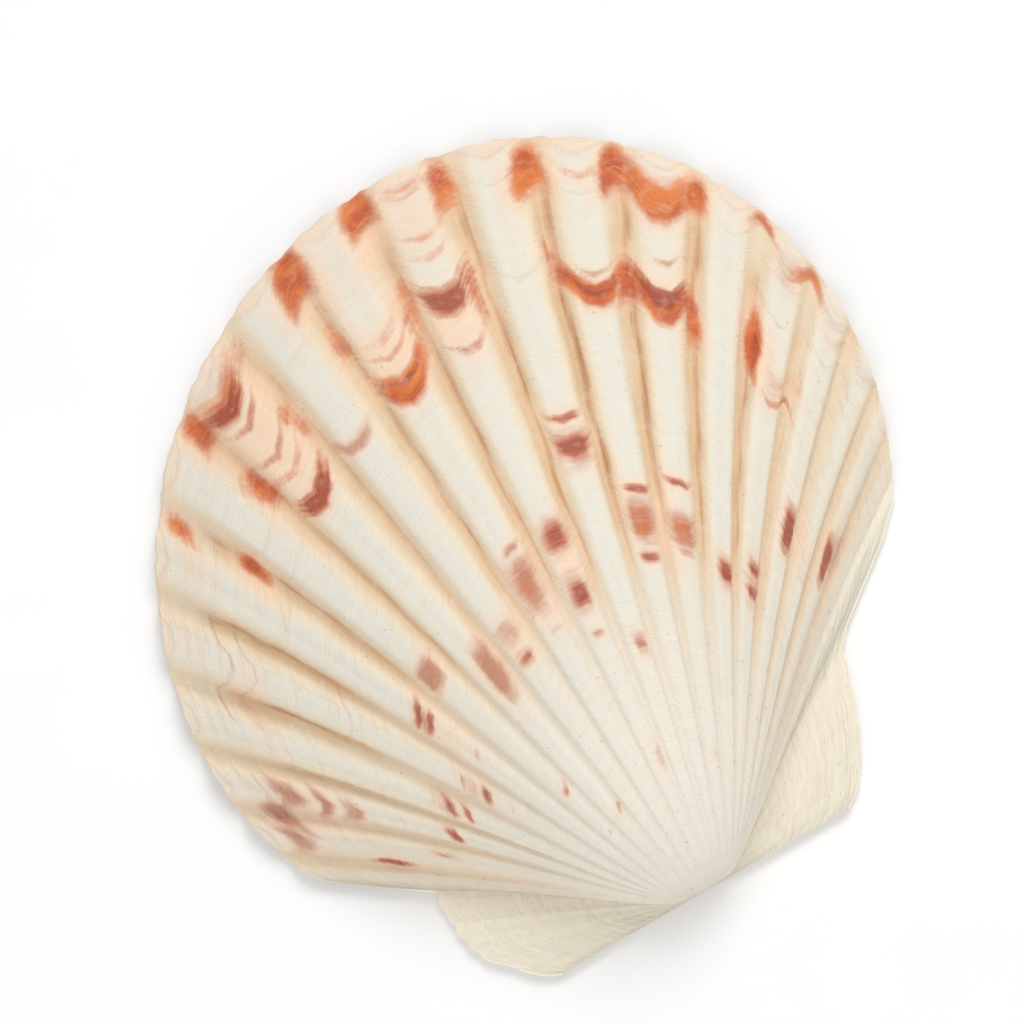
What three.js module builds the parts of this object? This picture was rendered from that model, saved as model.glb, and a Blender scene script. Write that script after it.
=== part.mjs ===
// One valve of a scallop shell, lying on its margin with the hollow side down.
//
// The shell is worked out from the way it grows. Every earlier edge of the valve is the
// final margin drawn smaller towards the beak and swung up about the hinge line, by an
// angle that rises with the logarithm of the shrinking, so the outside is a logarithmic
// spiral. A point is named by its rib number (0 near the middle, negative towards the
// front ear, positive towards the rear ear) and its growth stage (0 at the beak, 1 at the
// margin). While it is worked out, the beak is at the origin, the hinge line is the X axis,
// the valve grows along +Y and bulges along +Z.
import * as THREE from 'three';

// Driving dimensions, in millimetres and degrees.
const DISC_CENTRE = { x: 1.4, y: 28.0 };
const DISC_LONG = 27.8;
const DISC_SHORT = 24.9;
const DISC_LEAN = 52;
const FRONT_EAR = { half: 12.2, flare: 0.37, belly: 1.4 };
const REAR_EAR = { half: 11.8, flare: 0.45, belly: 0.85 };
const FRONT_FOLD = -58.3;
const REAR_FOLD = 56.4;
const NOTCH_TURN = 1.3;
const NOTCH_TURN_AT_HINGE = 26;

const CURL = 0.64;
const OUTSIDE_MAX_SWING = 1.5;
const INSIDE_MAX_SWING = 1;
const SHELL_EDGE = 0.8;
const INSIDE_SHRINK = 0.987;
const INSIDE_FLATTEN = 0.965;
const EAR_LIFT = 0.35;
const EAR_LIFT_INSIDE = 0.12;
const FLANK_TURN = 9;
const FLANK_TURN_INSIDE = 12.5;
const HINGE_PLATE = { flat: 1.7, rise: 3.4 };

const FIRST_RIB = -9;
const LAST_RIB = 10;
const RIB_HEIGHT = 0.95;
const MARGIN_RIB_SHARE = 0.65;
const RIB_HALF_TOP = 0.23;
const RIB_HALF_FOOT = 0.41;
const INNER_GROOVE = 0.6;
const GROWTH_LAG = 0.028;

// Growth stages of the rows, closer together where the shell curves more.
const STAGES = [0.06, 0.09, 0.13, 0.18, 0.24, 0.31, 0.39, 0.47, 0.55, 0.63, 0.71, 0.78, 0.85, 0.91, 0.96, 1];
const EAR_COLUMNS = 7;
const EAR_SPAN = 2.5;

const rad = THREE.MathUtils.degToRad;
const mix = THREE.MathUtils.lerp;

function ease(from, to, value) {
  const t = THREE.MathUtils.clamp((value - from) / (to - from), 0, 1);
  return t * t * (3 - 2 * t);
}

// Direction of a rib from the beak, in degrees from the growth axis. Ribs spread widest in
// the middle of the fan. Past the last ribs the direction turns evenly to the hinge line.
function direction(rib) {
  const fan = (q) => -0.38 + 6.86 * q - 0.043 * q * q - 0.01135 * q * q * q;
  const first = FIRST_RIB - 0.5;
  const last = LAST_RIB + 0.5;
  if (rib < first) {
    return mix(fan(first), -90, (first - rib) / EAR_SPAN);
  }
  if (rib > last) {
    return mix(fan(last), 90, (rib - last) / EAR_SPAN);
  }
  return fan(rib);
}

// Far crossing of a ray from the beak with the leaning ellipse that is the disc's edge.
function discRadius(angle) {
  const lean = rad(DISC_LEAN);
  const turn = (x, y) => ({
    long: (x * Math.cos(lean) + y * Math.sin(lean)) / DISC_LONG,
    short: (y * Math.cos(lean) - x * Math.sin(lean)) / DISC_SHORT,
  });
  const ray = turn(Math.sin(angle), Math.cos(angle));
  const centre = turn(DISC_CENTRE.x, DISC_CENTRE.y);
  const a = ray.long ** 2 + ray.short ** 2;
  const b = ray.long * centre.long + ray.short * centre.short;
  const c = centre.long ** 2 + centre.short ** 2 - 1;
  return (b + Math.sqrt(Math.max(b * b - a * c, 0))) / a;
}

// Outer edge of an ear: a line that leans outwards from the hinge tip, with a rounded belly
// between the hinge and the fold.
function earRadius(angle) {
  const ear = angle < 0 ? FRONT_EAR : REAR_EAR;
  const fold = rad(angle < 0 ? -FRONT_FOLD : REAR_FOLD);
  const pastFold = THREE.MathUtils.clamp((Math.abs(angle) - fold) / (Math.PI / 2 - fold), 0, 1);
  const half = ear.half + ear.belly * Math.sin(Math.PI * pastFold);
  return half / Math.max(Math.abs(Math.sin(angle)) - ear.flare * Math.cos(angle), 0.3);
}

function marginRadius(degrees, turn) {
  const angle = rad(degrees);
  const disc = Math.min(
    ease(FRONT_FOLD - turn, FRONT_FOLD + turn, degrees),
    ease(REAR_FOLD + turn, REAR_FOLD - turn, degrees),
  );
  return mix(earRadius(angle), discRadius(angle), disc);
}

// How fully the valve bulges: little on the flat ears, fully past the flanks of the disc.
function bulge(degrees, onEar, flankTurn) {
  const front = ease(FRONT_FOLD - 1, FRONT_FOLD - 1 + flankTurn, degrees);
  const rear = ease(REAR_FOLD + 1, REAR_FOLD + 1 - flankTurn, degrees);
  return mix(onEar, 1, Math.min(front, rear));
}

// Height of the rib relief, 0 in the furrows and 1 on the flat rib tops.
function ribRelief(rib) {
  if (rib < FIRST_RIB - 0.5 || rib > LAST_RIB + 0.5) {
    return 0;
  }
  const offCentre = Math.abs(rib - Math.round(rib));
  const outermost = Math.min(rib - FIRST_RIB, LAST_RIB - rib);
  return ease(RIB_HALF_FOOT, RIB_HALF_TOP, offCentre) * mix(0.45, 1, ease(-0.5, 3, outermost));
}

// A point of the growth spiral: the margin drawn in to a stage and swung up. The swing stops
// short of a right angle, so that the beak rises flush with the hinge line.
function spiralPoint(degrees, stage, maxSwing, lift, turn = NOTCH_TURN) {
  const swing = Math.min(CURL * Math.log(1 / stage), maxSwing);
  const reach = stage * marginRadius(degrees, turn);
  const along = reach * Math.cos(rad(degrees));
  return new THREE.Vector3(
    reach * Math.sin(rad(degrees)),
    along * Math.cos(swing),
    along * Math.sin(swing) * lift,
  );
}

// Growth lines cross the ribs a little nearer the beak than they cross the furrows.
function laggedStage(rib, stage) {
  return stage * (1 - GROWTH_LAG * ribRelief(rib) * mix(1, 0.45, ease(0.93, 1, stage)));
}

function outerBase(rib, stage) {
  const degrees = direction(rib);
  const lift = bulge(degrees, EAR_LIFT, FLANK_TURN);
  return spiralPoint(degrees, laggedStage(rib, stage), OUTSIDE_MAX_SWING, lift);
}

function outerPoint(rib, stage) {
  const step = 1e-3;
  const point = outerBase(rib, stage);
  const relief = ribRelief(rib);
  if (relief > 0) {
    const degrees = direction(rib);
    const lift = bulge(degrees, EAR_LIFT, FLANK_TURN);
    const here = spiralPoint(degrees, stage, OUTSIDE_MAX_SWING, lift);
    const across = spiralPoint(degrees + step, stage, OUTSIDE_MAX_SWING, lift).sub(here);
    const along = spiralPoint(degrees, stage - step, OUTSIDE_MAX_SWING, lift).sub(here).negate();
    const height = RIB_HEIGHT * relief * stage * mix(1, MARGIN_RIB_SHARE, ease(0.86, 1, stage));
    point.addScaledVector(across.cross(along).normalize(), height);
  }
  point.z += SHELL_EDGE;
  return point;
}

// The hollow follows the outside, drawn in towards the middle of the opening. It is flat
// under the ears and the hinge plate, and takes the ribs' shape only near the margin. Near
// the hinge its notches are shallow, so that the hinge plate has no folds in it.
function innerPoint(rib, stage) {
  const degrees = direction(rib);
  const lift = bulge(degrees, EAR_LIFT_INSIDE, FLANK_TURN_INSIDE);
  const turn = mix(NOTCH_TURN_AT_HINGE, NOTCH_TURN, ease(0.25, 0.7, stage));
  const point = spiralPoint(degrees, laggedStage(rib, stage), INSIDE_MAX_SWING, lift, turn);
  const hollow = ease(HINGE_PLATE.flat, HINGE_PLATE.flat + HINGE_PLATE.rise, point.y);
  point.z *= INSIDE_FLATTEN * hollow;
  point.z += INNER_GROOVE * ribRelief(rib) * ease(0.7, 1, stage);
  point.x = mix(DISC_CENTRE.x, point.x, INSIDE_SHRINK);
  point.y = mix(DISC_CENTRE.y, point.y, INSIDE_SHRINK);
  return point;
}

// Rib numbers of the columns: the two edges of each rib's top and foot, and the ears.
function columnRibs() {
  const ribs = [];
  for (let i = 0; i < EAR_COLUMNS; i += 1) {
    ribs.push(FIRST_RIB - 0.5 - EAR_SPAN * (1 - i / EAR_COLUMNS) ** 1.3);
  }
  for (let rib = FIRST_RIB; rib <= LAST_RIB; rib += 1) {
    ribs.push(rib - RIB_HALF_FOOT, rib - RIB_HALF_TOP, rib + RIB_HALF_TOP, rib + RIB_HALF_FOOT);
  }
  for (let i = 1; i <= EAR_COLUMNS; i += 1) {
    ribs.push(LAST_RIB + 0.5 + EAR_SPAN * (i / EAR_COLUMNS) ** 1.3);
  }
  return ribs;
}

// The closed wall of the valve: the outside and the hollow, each a fan from the beak, the
// strip round the margin between them, and the strip along the hinge line.
function valveGeometry() {
  const ribs = columnRibs();
  const rows = STAGES.length;
  const columns = ribs.length;
  const points = [];
  const sheet = (surface) => {
    const first = points.length;
    STAGES.forEach((stage) => ribs.forEach((rib) => points.push(surface(rib, stage))));
    return (row, column) => first + row * columns + column;
  };
  const outer = sheet(outerPoint);
  const inner = sheet(innerPoint);
  const beak = points.push(new THREE.Vector3(0, 0, SHELL_EDGE)) - 1;
  const innerBeak = points.push(new THREE.Vector3(
    mix(DISC_CENTRE.x, 0, INSIDE_SHRINK),
    mix(DISC_CENTRE.y, 0, INSIDE_SHRINK),
    0,
  )) - 1;

  const faces = [];
  const quad = (a, b, c, d) => faces.push(a, b, c, a, c, d);
  for (let column = 0; column < columns - 1; column += 1) {
    const next = column + 1;
    faces.push(beak, outer(0, next), outer(0, column));
    faces.push(innerBeak, inner(0, column), inner(0, next));
    for (let row = 0; row < rows - 1; row += 1) {
      quad(outer(row, column), outer(row, next), outer(row + 1, next), outer(row + 1, column));
      quad(inner(row, column), inner(row + 1, column), inner(row + 1, next), inner(row, next));
    }
    quad(outer(rows - 1, column), outer(rows - 1, next), inner(rows - 1, next), inner(rows - 1, column));
  }
  const last = columns - 1;
  quad(beak, outer(0, 0), inner(0, 0), innerBeak);
  quad(beak, innerBeak, inner(0, last), outer(0, last));
  for (let row = 0; row < rows - 1; row += 1) {
    quad(outer(row, 0), outer(row + 1, 0), inner(row + 1, 0), inner(row, 0));
    quad(outer(row, last), inner(row, last), inner(row + 1, last), outer(row + 1, last));
  }

  const geometry = new THREE.BufferGeometry().setFromPoints(points);
  geometry.setIndex(faces);
  geometry.computeBoundingBox();
  const box = geometry.boundingBox;
  const middle = box.getCenter(new THREE.Vector3());
  geometry.translate(-middle.x, -middle.y, -box.min.z);
  geometry.computeVertexNormals();
  return geometry;
}

const shell = new THREE.MeshStandardMaterial({ color: 0xe9dfca, roughness: 0.5, metalness: 0 });
const valve = new THREE.Mesh(valveGeometry(), shell);
valve.name = 'valve';

const scallop = new THREE.Group();
scallop.name = 'scallop_shell';
scallop.add(valve);

export default scallop;
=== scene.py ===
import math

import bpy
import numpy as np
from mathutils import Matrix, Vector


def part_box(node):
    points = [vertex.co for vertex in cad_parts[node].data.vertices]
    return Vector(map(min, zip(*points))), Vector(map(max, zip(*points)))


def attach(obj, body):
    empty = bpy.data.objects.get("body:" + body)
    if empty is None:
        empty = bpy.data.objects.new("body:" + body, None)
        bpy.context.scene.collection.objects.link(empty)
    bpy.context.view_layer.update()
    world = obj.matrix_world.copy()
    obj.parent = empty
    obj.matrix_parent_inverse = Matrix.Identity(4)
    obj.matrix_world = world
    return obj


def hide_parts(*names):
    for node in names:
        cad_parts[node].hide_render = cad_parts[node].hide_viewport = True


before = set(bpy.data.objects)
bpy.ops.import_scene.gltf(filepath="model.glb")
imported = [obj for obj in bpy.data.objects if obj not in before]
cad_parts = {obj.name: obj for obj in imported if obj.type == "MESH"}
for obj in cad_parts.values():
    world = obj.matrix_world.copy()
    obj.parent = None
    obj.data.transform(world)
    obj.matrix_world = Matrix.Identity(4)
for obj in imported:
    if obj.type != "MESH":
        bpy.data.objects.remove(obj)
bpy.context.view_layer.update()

# One valve of a ribbed scallop, lying on its margin with the hollow side down.
#
# The valve is one closed surface over two parameters. The first is the rib number: whole
# numbers are the crests of the twenty ribs, halves are the furrows, and the flat ears lie past
# the outermost furrows. The second is the growth stage: 0 at the beak, 1 at the margin. The
# surface is worked out in millimetres with the beak at the origin, the hinge line along X and
# the growth axis along Y, and is then set into the box of the node it stands for.

# Outline, in millimetres and degrees.
DISC_CENTRE = (1.4, 28.0)
DISC_LONG = 27.8
DISC_SHORT = 24.9
DISC_LEAN = math.radians(52.0)
FRONT_EAR = {"half": 12.2, "flare": 0.37, "belly": 1.4}
REAR_EAR = {"half": 11.8, "flare": 0.45, "belly": 0.85}
FRONT_FOLD = -58.3
REAR_FOLD = 56.4
NOTCH_TURN = 1.3
NOTCH_TURN_AT_HINGE = 26.0
NIBBLE_DEPTH = 0.05
EAR_TIP_WEAR = 0.55

# Bulge and wall.
CURL = 0.64
OUTSIDE_MAX_SWING = 1.5
INSIDE_MAX_SWING = 1.0
SHELL_EDGE = 0.8
RIM_ROUND = 0.22
INSIDE_SHRINK = 0.987
INSIDE_FLATTEN = 0.965
EAR_LIFT = 0.35
EAR_LIFT_INSIDE = 0.12
FLANK_TURN = 9.0
FLANK_TURN_INSIDE = 12.5
HINGE_PLATE = {"flat": 1.7, "rise": 3.4}

# Ribs. Heights and depths are in millimetres; half widths are in ribs.
FIRST_RIB = -9
LAST_RIB = 10
FIRST_FURROW = FIRST_RIB - 0.5
LAST_FURROW = LAST_RIB + 0.5
EAR_SPAN = 2.5
RIB_HEIGHT = 0.95
LOWEST_RIB_SHARE = 0.45
MARGIN_RIB_SHARE = 0.65
RIB_HALF_TOP = 0.25
RIB_HALF_FOOT = 0.46
INNER_GROOVE = 0.6
INNER_GROOVE_UPPER = 0.22
GROWTH_LAG = 0.028

# How finely the surface is drawn.
COLUMNS_PER_RIB = 14
EAR_COLUMNS = 22
OUTER_ROWS = 205
OUTER_ROWS_PER_INNER = 3
RIM_ROWS = 4
FIRST_STAGE = 0.02
FIRST_STAGE_INSIDE = 0.006

# Pauses in growth: the stage of each ledge and how deep it steps down, in millimetres. A ledge
# recovers to a third of its depth over LEDGE_FADE of a stage.
LEDGE_FADE = 0.014
LEDGES = (
    (0.30, 0.03), (0.385, 0.04), (0.455, 0.05), (0.53, 0.04), (0.615, 0.06), (0.68, 0.05),
    (0.735, 0.07), (0.795, 0.08), (0.835, 0.05), (0.88, 0.07), (0.915, 0.05), (0.945, 0.05),
    (0.965, 0.04), (0.982, 0.04),
)


def ease(start, stop, value):
    """Smooth step: 0 before start, 1 past stop, 3t^2 - 2t^3 between."""
    t = np.clip((value - start) / (stop - start), 0.0, 1.0)
    return t * t * (3.0 - 2.0 * t)


def mix(a, b, share):
    """Straight blend: a where share is 0, b where it is 1."""
    return a + (b - a) * share


def waves(rib, stage, rib_rate, stage_rate, seed, count=7):
    """Smooth unevenness of about -1 to 1: a sum of cosines, each with its own direction over
    (rib, stage), its own rate within 0.4 to 1.6 of the rates asked for, and its own phase."""
    draw = np.random.default_rng(seed)
    total = np.zeros(np.broadcast(rib, stage).shape)
    for _ in range(count):
        along_rib, along_stage = draw.uniform(-1.6, 1.6, 2)
        phase = draw.uniform(0.0, 2.0 * np.pi)
        total += np.cos(along_rib * rib_rate * rib + along_stage * stage_rate * stage + phase)
    return total / math.sqrt(count * 1.5)


def direction(rib):
    """Degrees from the growth axis: a cubic in the rib number over the ribs, then even steps
    to the hinge line across each ear."""
    def fan(q):
        return -0.38 + 6.86 * q - 0.043 * q * q - 0.01135 * q * q * q
    degrees = fan(np.clip(rib, FIRST_FURROW, LAST_FURROW))
    front = mix(fan(FIRST_FURROW), -90.0, (FIRST_FURROW - rib) / EAR_SPAN)
    rear = mix(fan(LAST_FURROW), 90.0, (rib - LAST_FURROW) / EAR_SPAN)
    degrees = np.where(rib < FIRST_FURROW, front, degrees)
    return np.where(rib > LAST_FURROW, rear, degrees)


def disc_radius(angle):
    """Far crossing of a ray from the beak with the leaning ellipse that is the disc's edge:
    the larger root of |ray * r - centre| = 1 in the ellipse's own axes."""
    def turn(x, y):
        return (
            (x * math.cos(DISC_LEAN) + y * math.sin(DISC_LEAN)) / DISC_LONG,
            (y * math.cos(DISC_LEAN) - x * math.sin(DISC_LEAN)) / DISC_SHORT,
        )
    ray_long, ray_short = turn(np.sin(angle), np.cos(angle))
    centre_long, centre_short = turn(*DISC_CENTRE)
    a = ray_long ** 2 + ray_short ** 2
    b = ray_long * centre_long + ray_short * centre_short
    c = centre_long ** 2 + centre_short ** 2 - 1.0
    return (b + np.sqrt(np.maximum(b * b - a * c, 0.0))) / a


def ear_radius(angle):
    """Outer edge of an ear, (half + belly * sine) / (|sin| - flare * cos): a line that leans
    outwards from the hinge tip, with a rounded belly between hinge and fold. The hinge tips
    are worn round, and the front ear's edge has a broken step and small chips."""
    front = angle < 0
    half = np.where(front, FRONT_EAR["half"], REAR_EAR["half"])
    belly = np.where(front, FRONT_EAR["belly"], REAR_EAR["belly"])
    flare = np.where(front, FRONT_EAR["flare"], REAR_EAR["flare"])
    degrees = np.abs(np.degrees(angle))
    fold = np.where(front, -FRONT_FOLD, REAR_FOLD)
    past_fold = np.clip((degrees - fold) / (90.0 - fold), 0.0, 1.0)
    half = half + belly * np.sin(np.pi * past_fold) - EAR_TIP_WEAR * ease(86.5, 90.0, degrees)
    broken = 0.5 * ease(78.6, 79.4, degrees) + 0.10 * ease(84.0, 84.5, degrees)
    chips = 0.10 * np.sin(degrees * 1.7) + 0.07 * np.sin(degrees * 4.1 + 1.0)
    worn = np.where(front, broken + 0.12 + chips, 0.55 + 0.05 * np.sin(degrees * 1.1))
    half = half - worn
    return half / np.maximum(np.abs(np.sin(angle)) - flare * np.cos(angle), 0.3)


def margin_radius(degrees, turn=NOTCH_TURN):
    """Distance from the beak to the final margin: the disc's edge between the two folds, the
    ears' edges past them, blended over the notch by a smooth step of turn degrees each way.
    A sum of three sines nibbles the disc's edge."""
    angle = np.radians(degrees)
    front = ease(FRONT_FOLD - turn, FRONT_FOLD + turn, degrees)
    rear = ease(REAR_FOLD + turn, REAR_FOLD - turn, degrees)
    nibbles = np.sin(degrees * 2.3) + np.sin(degrees * 3.7 + 1.0) + np.sin(degrees * 0.9 + 2.0)
    nibbles = NIBBLE_DEPTH * nibbles
    return mix(ear_radius(angle), disc_radius(angle) + nibbles, np.minimum(front, rear))


def bulge(degrees, on_ear, flank_turn):
    """How fully the valve bulges: on_ear on the flat ears, 1 past the flanks of the disc."""
    front = ease(FRONT_FOLD - 1.0, FRONT_FOLD - 1.0 + flank_turn, degrees)
    rear = ease(REAR_FOLD + 1.0, REAR_FOLD + 1.0 - flank_turn, degrees)
    return mix(on_ear, 1.0, np.minimum(front, rear))


def rib_relief(rib):
    """0 in the furrows, 1 on the broad rib tops, lower on the outermost ribs: a smooth step
    of the distance from the crest, with a little crown across the top."""
    off_crest = np.abs(rib - np.round(rib))
    outermost = np.minimum(rib - FIRST_RIB, LAST_RIB - rib)
    crown = 0.93 + 0.07 * np.cos(2.0 * np.pi * off_crest)
    shape = ease(RIB_HALF_FOOT, RIB_HALF_TOP, off_crest) * crown
    ribbed = (rib >= FIRST_FURROW) & (rib <= LAST_FURROW)
    return np.where(ribbed, shape * mix(LOWEST_RIB_SHARE, 1.0, ease(-0.5, 3.0, outermost)), 0.0)


def spiral(degrees, stage, max_swing, lift, turn=NOTCH_TURN):
    """Points of the growth spiral: the margin drawn in to a stage, then swung up about the
    hinge line by CURL * ln(1 / stage)."""
    swing = np.minimum(CURL * np.log(1.0 / stage), max_swing)
    reach = stage * margin_radius(degrees, turn)
    along = reach * np.cos(np.radians(degrees))
    across = reach * np.sin(np.radians(degrees))
    return np.stack([across, along * np.cos(swing), along * np.sin(swing) * lift], -1)


def lagged_stage(rib, stage):
    """Growth lines cross the rib tops nearer the beak than they cross the furrows."""
    return stage * (1.0 - GROWTH_LAG * rib_relief(rib) * mix(1.0, 0.45, ease(0.93, 1.0, stage)))


def on_disc(rib):
    """1 on the ribbed disc, 0 on the ears, with a short blend at the folds."""
    front = ease(FIRST_FURROW - 0.1, FIRST_FURROW + 0.5, rib)
    rear = ease(LAST_FURROW + 0.1, LAST_FURROW - 0.5, rib)
    return front * rear


def fine_relief(rib, stage):
    """Height in millimetres of what is finer than the ribs: a ledge at each pause in growth
    that drops at once and recovers exponentially, close growth ridges near the margin,
    low swells over the disc, and faint radial riblets with growth steps on the ears."""
    uneven = 0.004 * waves(rib, stage, 0.9, 9.0, 11)
    ledges = np.zeros(np.broadcast(rib, stage).shape)
    for place, depth in LEDGES:
        past = stage + uneven - place
        ledges -= depth * np.where(past > 0.0, np.exp(-past / LEDGE_FADE), 0.0) * ease(-0.002, 0.002, past)
    ridges = np.sin(stage * 260.0 + 1.2 * waves(rib, stage, 1.1, 6.0, 12))
    ridges = ridges * (0.006 + 0.014 * ease(0.82, 0.97, stage))
    swells = 0.05 * waves(rib, stage, 0.55, 4.0, 13) * ease(0.1, 0.5, stage) * ease(1.0, 0.9, stage)
    ear = 1.0 - on_disc(rib)
    past_fold = np.maximum(FIRST_FURROW - rib, rib - LAST_FURROW)
    riblets = 0.035 * np.sin(past_fold * 12.5) * ease(0.05, 0.4, past_fold) * ease(2.5, 2.0, past_fold)
    steps = 0.02 * np.sin(stage * 120.0 + waves(rib, stage, 1.2, 6.0, 14)) * ease(0.2, 0.5, stage)
    return mix(ledges + ridges + swells, riblets * ease(0.1, 0.4, stage) + steps + 0.5 * ledges, ear)


def outside(rib, stage):
    """Outer face: the spiral, plus the rib relief and the fine relief along its normal."""
    degrees = direction(rib)
    lift = bulge(degrees, EAR_LIFT, FLANK_TURN)
    wander = 0.05 * waves(np.round(rib), stage, 2.3, 5.0, 21, count=5) * on_disc(rib)
    point = spiral(degrees, lagged_stage(rib + wander, stage), OUTSIDE_MAX_SWING, lift)
    step = 1e-3
    here = spiral(degrees, stage, OUTSIDE_MAX_SWING, lift)
    across = spiral(degrees + step, stage, OUTSIDE_MAX_SWING, lift) - here
    along = here - spiral(degrees, stage - step, OUTSIDE_MAX_SWING, lift)
    normal = np.cross(across, along)
    normal /= np.linalg.norm(normal, axis=-1, keepdims=True) + 1e-12
    uneven_height = 1.0 + 0.07 * waves(np.round(rib), stage, 3.1, 4.0, 22, count=5)
    height = RIB_HEIGHT * rib_relief(rib + wander) * stage * uneven_height * ease(0.03, 0.22, stage)
    height = height * mix(1.0, MARGIN_RIB_SHARE, ease(0.86, 1.0, stage))
    height = height + fine_relief(rib, stage) * ease(0.02, 0.25, stage)
    point = point + normal * height[..., None]
    point[..., 2] += SHELL_EDGE
    return point


# The muscle scar on the inside, in millimetres from the beak, and the ligament's pit.
SCAR_CENTRE = (5.2, 24.0)
SCAR_HALF = (7.6, 6.4)
SCAR_DEPTH = 0.10
PIT_LENGTH = 2.1
PIT_HALF_WIDTH = 1.35
PIT_DEPTH = 0.5


def muscle_scar(x, y):
    """1 well inside the scar, falling to 0 at its edge: one minus an ellipse's radius."""
    radius = np.hypot((x - SCAR_CENTRE[0]) / SCAR_HALF[0], (y - SCAR_CENTRE[1]) / SCAR_HALF[1])
    return 1.0 - radius


def inside(rib, stage):
    """Inner face: the spiral with less swing and lift, flat under the ears and the hinge
    plate, grooved under the ribs towards the margin, with the ligament's pit and the scar."""
    degrees = direction(rib)
    lift = bulge(degrees, EAR_LIFT_INSIDE, FLANK_TURN_INSIDE)
    relief = rib_relief(rib)
    turn = mix(NOTCH_TURN_AT_HINGE, NOTCH_TURN, ease(0.25, 0.7, stage))
    point = spiral(degrees, lagged_stage(rib, stage), INSIDE_MAX_SWING, lift, turn)
    x = point[..., 0]
    y = point[..., 1]
    hollow = ease(HINGE_PLATE["flat"], HINGE_PLATE["flat"] + HINGE_PLATE["rise"], y)
    groove = INNER_GROOVE_UPPER * relief * ease(0.25, 0.6, stage) * hollow
    groove += (INNER_GROOVE - INNER_GROOVE_UPPER) * relief * ease(0.7, 1.0, stage)
    scar = SCAR_DEPTH * ease(0.0, 0.06, muscle_scar(x, y))
    swells = 0.04 * waves(rib, stage, 0.5, 5.0, 31) * ease(0.2, 0.5, stage) * ease(1.0, 0.9, stage)
    pit_width = PIT_HALF_WIDTH * np.clip(y / PIT_LENGTH, 0.05, 1.0)
    pit = ease(1.0, 0.7, np.abs(x) / pit_width) * ease(PIT_LENGTH, PIT_LENGTH - 0.4, y) * ease(0.0, 0.5, y)
    z = point[..., 2] * INSIDE_FLATTEN * hollow + groove + (scar + swells) * hollow + PIT_DEPTH * pit
    x = mix(DISC_CENTRE[0], x, INSIDE_SHRINK)
    y = mix(DISC_CENTRE[1], y, INSIDE_SHRINK)
    return np.stack([x, y, z], -1)


def rounded_rim(outer_edge, inner_edge):
    """Rows between the two faces' last rows: straight lines between them, pushed outwards by
    RIM_ROUND times the sine of the way across, so that the margin is round."""
    share = np.linspace(0.0, 1.0, RIM_ROWS + 2)[1:-1, None, None]
    straight = mix(outer_edge, inner_edge, share)
    centre = np.array([DISC_CENTRE[0], DISC_CENTRE[1], 0.0])
    out = outer_edge - centre
    out[..., 2] = 0.0
    out /= np.linalg.norm(out, axis=-1, keepdims=True)
    return straight + RIM_ROUND * np.sin(np.pi * share) * out


def rib_columns():
    """Rib numbers of the columns: even over the ribs, closer near the folds on the ears."""
    ear = EAR_SPAN * np.linspace(1.0, 0.0, EAR_COLUMNS, endpoint=False) ** 1.2
    ribs = np.linspace(FIRST_FURROW, LAST_FURROW, COLUMNS_PER_RIB * (LAST_RIB - FIRST_RIB + 1) + 1)
    return np.concatenate([FIRST_FURROW - ear, ribs, LAST_FURROW + ear[::-1]])


def growth_rows(first, count, gather):
    """Growth stages of the rows: a blend of even steps and squared steps from first to 1."""
    t = np.linspace(0.0, 1.0, count)
    return first + (1.0 - first) * mix(t, t * t, gather)


# How much further a mark sags towards the beak on a rib's crest than the growth line does.
MARK_SAG = 0.030

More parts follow.
